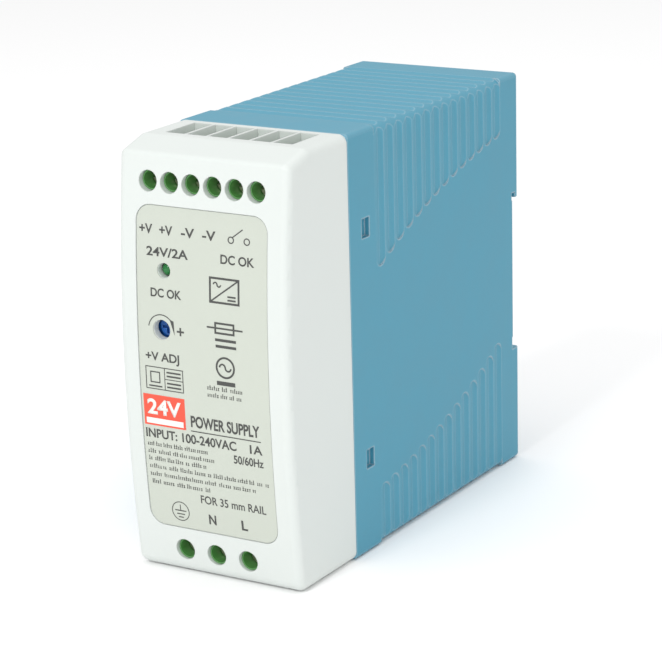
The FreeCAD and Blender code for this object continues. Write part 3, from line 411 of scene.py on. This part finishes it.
def laminate_board(rgb):
    """Coated laminate with a woven core showing faintly and copper tracks under the coat."""
    material, tree, shader = start_material("board laminate")
    place = add_node(tree, "ShaderNodeTexCoord").outputs["Object"]
    tracks = add_node(tree, "ShaderNodeTexBrick",
                      (("Vector", place), ("Scale", 160.0), ("Mortar Size", 0.018), ("Bias", -0.2)))
    tracks.inputs["Color1"].default_value = full(rgb)
    tracks.inputs["Color2"].default_value = full(tuple(c * 0.82 for c in rgb))
    tracks.inputs["Mortar"].default_value = full(tuple(min(1.0, c * 1.7) for c in rgb))
    surface = place_group(tree, moulded_grain_group(), Mottle=0.12, Roughness=0.33)
    surface.inputs["Grain per metre"].default_value = 1600.0
    tree.links.new(tracks.outputs["Color"], surface.inputs["Colour"])
    tree.links.new(surface.outputs["Colour"], shader.inputs["Base Color"])
    tree.links.new(surface.outputs["Roughness"], shader.inputs["Roughness"])
    bump = add_node(tree, "ShaderNodeBump", (("Strength", 0.3), ("Distance", 0.03 * MM)))
    tree.links.new(tracks.outputs["Fac"], bump.inputs["Height"])
    tree.links.new(bump.outputs[0], shader.inputs["Normal"])
    return material


def wound_wire(name, rgb, per_metre, axis):
    """Enamelled wire or tape laid turn by turn: bands across the winding with darker gaps."""
    material, tree, shader = start_material(name)
    place = add_node(tree, "ShaderNodeTexCoord").outputs["Object"]
    bands = add_node(tree, "ShaderNodeTexWave",
                     (("Vector", place), ("Scale", per_metre), ("Distortion", 0.6), ("Detail", 1.0)),
                     bands_direction=axis)
    tone = blend_colour(tree, bands.outputs["Fac"], full(tuple(c * 0.35 for c in rgb)), full(rgb))
    tree.links.new(tone, shader.inputs["Base Color"])
    rough = math_node(tree, "SUBTRACT", 0.55, math_node(tree, "MULTIPLY", bands.outputs["Fac"], 0.3))
    tree.links.new(rough, shader.inputs["Roughness"])
    bump = add_node(tree, "ShaderNodeBump", (("Strength", 0.8), ("Distance", 0.15 * MM)))
    tree.links.new(bands.outputs["Fac"], bump.inputs["Height"])
    tree.links.new(bump.outputs[0], shader.inputs["Normal"])
    shader.inputs["Coat Weight"].default_value = 0.3
    return material


def finish_nodes(material, *names):
    """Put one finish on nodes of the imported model."""
    for name in names:
        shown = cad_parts[name]
        shown.data.materials.clear()
        shown.data.materials.append(material)


def numbered(stem, count):
    return ["%s_%d" % (stem, i + 1) for i in range(count)]


# ---- print on the bowed label ----

def label_front(height):
    """Where the label's surface lies along Y at a height, in metres."""
    centre = FACE_FRONT + FACE_RADIUS
    radius = FACE_RADIUS - LABEL_SETBACK
    return centre - math.sqrt(radius ** 2 - (height - HALF_HEIGHT) ** 2)


class LabelPrint:
    """Flat shapes that become one raised layer of ink.

    Places are millimetres from the supply's middle line and from its base.
    """

    def __init__(self):
        self.mesh = bmesh.new()

    def polygon(self, points):
        made = [self.mesh.verts.new((x, 0.0, z)) for x, z in points]
        self.mesh.faces.new(made)

    def strip(self, inner, outer, closed=True):
        """A band of quads between two lines of the same number of points."""
        a = [self.mesh.verts.new((x, 0.0, z)) for x, z in inner]
        b = [self.mesh.verts.new((x, 0.0, z)) for x, z in outer]
        last = len(a) if closed else len(a) - 1
        for i in range(last):
            j = (i + 1) % len(a)
            self.mesh.faces.new((a[i], a[j], b[j], b[i]))

    def bar(self, x0, z0, x1, z1, width):
        start, end = Vector((x0, z0)), Vector((x1, z1))
        side = (end - start).normalized().orthogonal() * (width / 2)
        self.polygon([start + side, end + side, end - side, start - side])

    def frame(self, x0, z0, x1, z1, width):
        inner = [(x0 + width, z0 + width), (x1 - width, z0 + width),
                 (x1 - width, z1 - width), (x0 + width, z1 - width)]
        self.strip(inner, [(x0, z0), (x1, z0), (x1, z1), (x0, z1)])

    def arc(self, x, z, radius, width, start=0.0, end=360.0, steps=48):
        closed = end - start >= 360.0
        count = steps if closed else steps + 1
        turns = [math.radians(start + (end - start) * i / steps) for i in range(count)]
        near, far = radius - width / 2, radius + width / 2
        self.strip([(x + near * math.cos(t), z + near * math.sin(t)) for t in turns],
                   [(x + far * math.cos(t), z + far * math.sin(t)) for t in turns], closed)

    def text(self, words, x, z, height, width, weight=0.018):
        """Lettering from its left end on a baseline, of a cap height and a total width."""
        curve = bpy.data.curves.new("lettering", "FONT")
        curve.body = words
        curve.size = 1.0
        curve.offset = weight
        curve.resolution_u = 6
        holder = bpy.data.objects.new("lettering", curve)
        bpy.context.scene.collection.objects.link(holder)
        bpy.context.view_layer.update()
        graph = bpy.context.evaluated_depsgraph_get()
        flat = bpy.data.meshes.new_from_object(holder.evaluated_get(graph))
        bpy.data.objects.remove(holder)
        bpy.data.curves.remove(curve)
        low_x = min(v.co.x for v in flat.vertices)
        high_x = max(v.co.x for v in flat.vertices)
        cap = FONT_CAP + 2 * weight
        across = width / (high_x - low_x)
        up = height / cap
        flat.transform(Matrix.Translation((x - low_x * across, 0.0, z + weight * up))
                       @ Matrix(((across, 0, 0, 0), (0, 0, 1, 0), (0, up, 0, 0), (0, 0, 0, 1))))
        self.mesh.from_mesh(flat)
        bpy.data.meshes.remove(flat)

    def piece(self, name, material, layer=0):
        """Raise the shapes, wrap them on the bowed label and return the piece."""
        _, ink, _ = settings()
        mesh = self.mesh
        bmesh.ops.remove_doubles(mesh, verts=mesh.verts, dist=1e-4)
        bmesh.ops.recalc_face_normals(mesh, faces=mesh.faces)
        front = list(mesh.faces)
        raised = bmesh.ops.extrude_face_region(mesh, geom=front)
        top = [v for v in raised["geom"] if isinstance(v, bmesh.types.BMVert)]
        upper = set(top)
        lift = ink.ink_lift + layer * (ink.ink_thickness + ink.ink_lift)
        for vert in mesh.verts:
            vert.co *= MM
            out = lift + (ink.ink_thickness if vert in upper else 0.0)
            vert.co.y = label_front(vert.co.z) - out
        bmesh.ops.recalc_face_normals(mesh, faces=mesh.faces)
        data = bpy.data.meshes.new(name)
        mesh.to_mesh(data)
        mesh.free()
        made = bpy.data.objects.new(name, data)
        bpy.context.scene.collection.objects.link(made)
        data.materials.append(material)
        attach(made, "case")
        return made


# ---- operators ----

class PieceOperator(bpy.types.Operator):
    bl_options = {"REGISTER", "UNDO"}


class SUPPLY_OT_stage(PieceOperator):
    """Floor, soft lights and the camera"""
    bl_idname = "supply.stage"
    bl_label = "Studio"

    def execute(self, context):
        _, _, stage = settings()
        scene = context.scene
        bm = bmesh.new()
        bmesh.ops.create_grid(bm, x_segments=4, y_segments=4, size=FLOOR_HALF)
        data = bpy.data.meshes.new("floor")
        bm.to_mesh(data)
        bm.free()
        floor = bpy.data.objects.new("floor", data)
        floor.location.z = CAD_BOX[0].z - FLOOR_GAP
        scene.collection.objects.link(floor)
        material, tree, shader = start_material("studio floor")
        place = add_node(tree, "ShaderNodeTexCoord").outputs["Object"]
        patch = noise(tree, place, 3.0, 3.0).outputs["Fac"]
        shade = tuple(c * 0.985 for c in stage.floor_colour)
        tone = blend_colour(tree, patch, full(stage.floor_colour), full(shade))
        tree.links.new(tone, shader.inputs["Base Color"])
        shader.inputs["Roughness"].default_value = 0.9
        shader.inputs["Specular IOR Level"].default_value = 0.0
        data.materials.append(material)

        world = bpy.data.worlds.new("studio")
        world.use_nodes = True
        back = world.node_tree.nodes["Background"]
        back.inputs["Color"].default_value = (1.0, 1.0, 1.0, 1.0)
        back.inputs["Strength"].default_value = stage.room_light
        scene.world = world
        scene.view_settings.view_transform = "Standard"
        scene.view_settings.look = "None"

        self.area_light("key", KEY_PLACE, 0.25, stage.key_power)
        self.area_light("fill", FILL_PLACE, 0.40, stage.fill_power)
        self.area_light("top", TOP_PLACE, 0.80, stage.fill_power)
        self.camera(scene, stage)
        return {"FINISHED"}

    def area_light(self, name, place, size, power):
        data = bpy.data.lights.new(name, "AREA")
        data.shape = "DISK"
        data.size = size
        data.energy = power
        light = bpy.data.objects.new(name, data)
        light.location = place
        aim = Vector((0.0, 0.0, HALF_HEIGHT)) - Vector(place)
        light.rotation_mode = "QUATERNION"
        light.rotation_quaternion = aim.to_track_quat("-Z", "Y")
        bpy.context.scene.collection.objects.link(light)

    def camera(self, scene, stage):
        a, e, roll = stage.azimuth, stage.elevation, stage.roll
        back = Vector((math.sin(a) * math.cos(e), -math.cos(a) * math.cos(e), math.sin(e)))
        right = Vector((math.cos(a), math.sin(a), 0.0))
        up = back.cross(right)
        level_right, level_up = right.copy(), up.copy()
        right = math.cos(roll) * level_right + math.sin(roll) * level_up
        up = -math.sin(roll) * level_right + math.cos(roll) * level_up
        data = bpy.data.cameras.new("camera")
        data.lens = stage.lens
        data.sensor_width = 36.0
        data.clip_start, data.clip_end = 0.01, 20.0
        camera = bpy.data.objects.new("camera", data)
        place = Vector((0.0, 0.0, HALF_HEIGHT)) + back * stage.distance
        place += right * stage.aside + up * stage.raised
        turn = Matrix((right, up, back)).transposed().to_4x4()
        camera.matrix_world = Matrix.Translation(place) @ turn
        scene.collection.objects.link(camera)
        scene.camera = camera


class SUPPLY_OT_shells(PieceOperator):
    """Finishes of the rear case, the front cover and the rail latch with its spring"""
    bl_idname = "supply.shells"
    bl_label = "Case and cover"

    def execute(self, context):
        shell, _, _ = settings()
        grain = 1.0 / shell.grain_size
        # The case's strong edge setting paints bright highlight lines along its rib crests.
        finish_nodes(moulded_plastic("case blue", shell.case_colour, shell.case_roughness, grain,
                                     mottle=0.085, depth=0.030, radius=shell.edge_radius * 1.5, painted_highlight=0.95,
                                     dust=0.03), "rear_case")
        finish_nodes(moulded_plastic("cover white", shell.cover_colour, shell.cover_roughness, grain * 1.3,
                                     mottle=0.012, depth=0.010, radius=shell.edge_radius, painted_highlight=0.25,
                                     dust=0.03), "front_cover")
        finish_nodes(moulded_plastic("latch black", shell.latch_colour, 0.42, grain, mottle=0.20,
                                     depth=0.015, painted_highlight=0.25), "rail_latch")
        finish_nodes(plated_metal("spring wire", (0.55, 0.55, 0.57), 0.22), "latch_spring")
        return {"FINISHED"}


class SUPPLY_OT_terminals(PieceOperator):
    """Finishes of the screw terminals"""
    bl_idname = "supply.terminals"
    bl_label = "Terminals"

    def execute(self, context):
        shell, _, _ = settings()
        housing = moulded_plastic("terminal green", shell.terminal_colour, 0.36, 4200.0, mottle=0.08,
                                  depth=0.008, radius=0.0002, painted_highlight=0.30, dust=0.05)
        finish_nodes(housing, "output_terminal_housing", "input_terminal_housing")
        finish_nodes(plated_metal("screw plating", (0.78, 0.72, 0.58), 0.22, 0.5),
                     *numbered("output_screw", 6), *numbered("input_screw", 3), "heatsink_screws")
        finish_nodes(plated_metal("cage plating", (0.70, 0.70, 0.72), 0.28, 0.3),
                     *numbered("output_clamp", 6), *numbered("input_clamp", 3))
        finish_nodes(plated_metal("tinned contacts", (0.80, 0.78, 0.72), 0.35, 0.4),
                     "output_terminal_pins", "input_terminal_pins", "board_link_pins")
        return {"FINISHED"}


class SUPPLY_OT_label(PieceOperator):
    """The label's film and its printed legends, symbols and filled block"""
    bl_idname = "supply.label"
    bl_label = "Label"

    def execute(self, context):
        _, ink, _ = settings()
        finish_nodes(label_film(ink.label_colour), "label")
        black = printed_ink(BLACK_PRINT, ink.ink_colour)
        red = printed_ink(RED_PRINT, ink.red_colour)
        pale = printed_ink(PALE_PRINT, (0.80, 0.80, 0.76))
        self.legends().piece("legend_print", black)
        self.terminal_symbols().piece("terminal_symbol_print", black)
        self.plain_marks().piece("symbol_print", black)
        self.small_print().piece("small_print", black)
        block = LabelPrint()
        block.polygon([(-14.9, 31.9), (-4.9, 31.9), (-4.9, 38.5), (-14.9, 38.5)])
        block.piece("red_block_print", red)
        mark = LabelPrint()
        mark.text("24V", -14.0, 34.3, 3.3, 8.2, 0.03)
        mark.polygon([(-14.4, 32.3), (-5.4, 32.3), (-5.4, 33.5), (-14.4, 33.5)])
        mark.piece("red_block_mark_print", pale, layer=1)
        return {"FINISHED"}

    def legends(self):
        """Words that say what each terminal, lamp and adjuster is."""
        ink = LabelPrint()
        for words, x in (("+V", -14.7), ("+V", -9.9), ("-V", -4.7), ("-V", 0.3)):
            ink.text(words, x, 71.8, 1.95, 3.1)
        ink.text("24V/2A", -13.0, 67.4, 1.85, 9.9)
        ink.text("DC OK", 4.6, 67.5, 1.85, 7.8)
        ink.text("DC OK", -12.1, 59.1, 1.80, 7.3)
        ink.text("+V ADJ", -13.8, 45.8, 1.80, 8.1)
        ink.text("POWER SUPPLY", -3.6, 32.8, 2.45, 16.3, 0.024)
        ink.bar(-3.7, 31.95, 12.9, 31.95, 0.20)
        ink.text("INPUT: 100-240VAC", -14.8, 29.2, 1.95, 21.8)
        ink.text("1A", 10.2, 29.2, 1.85, 2.9)
        ink.text("50/60Hz", 6.2, 26.5, 1.75, 7.0, 0.016)
        ink.text("FOR 35 mm RAIL", -2.6, 16.4, 1.75, 15.6, 0.008)
        ink.text("N", -1.05, 12.0, 2.15, 1.75, 0.022)
        ink.text("L", 6.8, 12.0, 2.15, 1.45, 0.022)
        return ink

    def terminal_symbols(self):
        """The contact, the adjuster's arc and arrow, and the earth terminal."""
        ink = LabelPrint()
        ink.arc(7.0, 72.4, 0.62, 0.22)
        ink.arc(10.7, 72.4, 0.62, 0.22)
        ink.bar(7.35, 72.95, 9.7, 74.7, 0.22)
        ink.arc(-9.7, 52.4, 3.1, 0.20, 45.0, 170.0)
        ink.polygon([(-7.65, 54.75), (-6.75, 54.45), (-6.55, 51.6)])
        ink.bar(-6.0, 52.5, -4.3, 52.5, 0.38)
        ink.bar(-5.15, 51.65, -5.15, 53.35, 0.38)
        ink.arc(-7.9, 13.7, 2.05, 0.17)
        ink.bar(-7.9, 13.85, -7.9, 15.15, 0.17)
        ink.bar(-9.25, 13.85, -6.55, 13.85, 0.22)
        ink.bar(-8.85, 13.1, -6.95, 13.1, 0.22)
        ink.bar(-8.5, 12.4, -7.3, 12.4, 0.22)
        return ink

    def plain_marks(self):
        """General engineering symbols: converter, fuse, supply and a ruled box."""
        ink = LabelPrint()
        ink.frame(1.9, 59.4, 9.0, 64.7, 0.42)
        ink.bar(2.2, 59.7, 8.7, 64.4, 0.30)
        ink.bar(6.2, 61.0, 8.1, 61.0, 0.34)
        ink.bar(6.2, 60.3, 8.1, 60.3, 0.34)
        ink.arc(3.35, 63.2, 0.42, 0.28, 0.0, 180.0, 16)
        ink.arc(4.19, 63.2, 0.42, 0.28, 180.0, 359.0, 16)
        ink.frame(3.0, 53.2, 7.7, 55.6, 0.40)
        ink.bar(1.2, 54.4, 9.6, 54.4, 0.34)
        ink.arc(5.3, 46.4, 2.05, 0.40)
        ink.arc(4.62, 46.4, 0.66, 0.34, 0.0, 180.0, 16)
        ink.arc(5.96, 46.4, 0.66, 0.34, 180.0, 359.0, 16)
        for x0, x1, z, thick in ((3.1, 8.0, 52.0, 0.55), (3.2, 8.0, 50.7, 0.55), (3.2, 7.5, 43.1, 0.85)):
            ink.bar(x0, z, x1, z, thick)
        ink.frame(-14.0, 39.7, -4.9, 44.5, 0.18)
        ink.bar(-9.4, 39.8, -9.4, 44.4, 0.16)
        ink.bar(-9.4, 42.1, -5.0, 42.1, 0.16)
        ink.frame(-12.9, 41.1, -10.5, 43.5, 0.24)
        ink.bar(-13.3, 40.4, -10.1, 40.4, 0.30)
        for z in (43.6, 42.8, 41.3, 40.5):
            ink.bar(-8.9, z, -5.5, z, 0.34)
        return ink

    def small_print(self):
        """Rows of short strokes where the fine print runs."""
        ink = LabelPrint()
        rows = ((-14.6, 0.8, 27.4), (-14.6, 1.8, 25.8), (-14.6, -0.6, 24.2), (-14.5, 14.0, 22.5),
                (-14.5, 10.9, 20.8), (-14.2, 0.0, 19.1), (0.8, 9.8, 41.4), (0.8, 9.8, 39.9))
        draw = random.Random(SMALL_PRINT_SEED)
        for start, end, z in rows:
            x = start
            while x < end - 0.5:
                run = min(draw.uniform(0.9, 3.1), end - x)
                at = x
                while at < x + run - 0.2:
                    tall = draw.choice((0.62, 0.62, 0.95))
                    wide = draw.uniform(0.22, 0.40)
                    ink.bar(at + wide / 2, z, at + wide / 2, z + tall, 0.15)
                    if draw.random() < 0.7:
                        ink.bar(at, z + 0.09, at + wide, z + 0.09, 0.12)
                    if draw.random() < 0.6:
                        ink.bar(at, z + 0.55, at + wide, z + 0.55, 0.12)
                    at += wide + STROKE_GAP
                x += run + WORD_GAP
        return ink


class SUPPLY_OT_lamp(PieceOperator):
    """Finishes of the lamp and the trimmer"""
    bl_idname = "supply.lamp"
    bl_label = "Lamp and trimmer"

    def execute(self, context):
        finish_nodes(tinted_resin((0.012, 0.16, 0.035)), "status_led")
        blue = moulded_plastic("trimmer blue", (0.012, 0.105, 0.400), 0.30, 6000.0, mottle=0.05,
                               depth=0.004, radius=0.0001, painted_highlight=0.2, dust=0.0, coat=0.3)
        finish_nodes(blue, "trimmer_body", "trimmer_rotor")
        return {"FINISHED"}


class SUPPLY_OT_converter(PieceOperator):
    """Finishes of the boards and the parts on them"""
    bl_idname = "supply.converter"
    bl_label = "Converter"

    def execute(self, context):
        finish_nodes(laminate_board((0.020, 0.130, 0.045)), "front_board", "signal_board", "main_board")
        finish_nodes(moulded_plastic("package black", (0.018, 0.018, 0.020), 0.45, 5000.0, mottle=0.25,
                                     depth=0.01, radius=0.00015),
                     "signal_header", "switching_transistor", "output_rectifier", "bridge_rectifier",
                     "optocouplers", "control_ic", "transformer_bobbin", "alarm_relay")
        finish_nodes(moulded_plastic("sheet film", (0.72, 0.70, 0.58), 0.35, 1500.0, mottle=0.06,
                                     depth=0.006), "insulation_sheet")
        finish_nodes(moulded_plastic("glazed ceramic", (0.62, 0.58, 0.50), 0.18, 2500.0, mottle=0.06,
                                     depth=0.003, coat=0.6), "fuse")
        finish_nodes(moulded_plastic("disc lacquer", (0.020, 0.070, 0.240), 0.22, 1800.0, mottle=0.12,
                                     depth=0.012, coat=0.5), "inrush_thermistor", "varistor", "y_capacitor")
        finish_nodes(moulded_plastic("film box yellow", (0.700, 0.520, 0.040), 0.32, 2500.0, mottle=0.05,
                                     depth=0.006), "x_capacitor")
        finish_nodes(moulded_plastic("ferrite", (0.030, 0.030, 0.033), 0.62, 2200.0, mottle=0.30,
                                     depth=0.030, painted_highlight=0.5), "line_choke_core", "transformer_core",
                     "output_choke_core")
        finish_nodes(wound_wire("enamelled wire", (0.560, 0.190, 0.055), 330.0, "Y"),
                     "line_choke_windings", "output_choke_winding")
        finish_nodes(wound_wire("winding tape", (0.760, 0.520, 0.030), 60.0, "X"), "transformer_winding")
        finish_nodes(moulded_plastic("capacitor sleeve", (0.012, 0.015, 0.040), 0.25, 1200.0, mottle=0.1,
                                     depth=0.004, coat=0.4), "bulk_capacitor", "output_capacitors")
        finish_nodes(plated_metal("heatsink metal", (0.72, 0.73, 0.74), 0.38, 0.2), "primary_heatsink",
                     "output_heatsink")
        return {"FINISHED"}


class SUPPLY_PT_panel(bpy.types.Panel):
    """Sizes, colours and making of the power supply"""
    bl_idname = "SUPPLY_PT_panel"
    bl_label = "Rail Power Supply"
    bl_space_type = "VIEW_3D"
    bl_region_type = "UI"
    bl_category = "Power Supply"

    def draw(self, context):
        layout = self.layout
        for group in settings():
            box = layout.box()
            for name in group.bl_rna.properties.keys():
                if name not in ("rna_type", "name"):
                    box.prop(group, name)
        for kind in MAKERS:
            layout.operator(kind.bl_idname)


MAKERS = (SUPPLY_OT_stage, SUPPLY_OT_shells, SUPPLY_OT_terminals, SUPPLY_OT_label, SUPPLY_OT_lamp,
          SUPPLY_OT_converter)
CLASSES = (SupplyShellSettings, SupplyPrintSettings, SupplyStageSettings) + MAKERS + (SUPPLY_PT_panel,)


def register():
    for kind in CLASSES:
        bpy.utils.register_class(kind)
    bpy.types.Scene.supply_shell = bpy.props.PointerProperty(type=SupplyShellSettings)
    bpy.types.Scene.supply_print = bpy.props.PointerProperty(type=SupplyPrintSettings)
    bpy.types.Scene.supply_stage = bpy.props.PointerProperty(type=SupplyStageSettings)


def unregister():
    del bpy.types.Scene.supply_stage
    del bpy.types.Scene.supply_print
    del bpy.types.Scene.supply_shell
    for kind in reversed(CLASSES):
        bpy.utils.unregister_class(kind)


def main():
    register()
    for kind in MAKERS:
        group, action = kind.bl_idname.split(".")
        getattr(getattr(bpy.ops, group), action)()


if __name__ == "__main__":
    main()
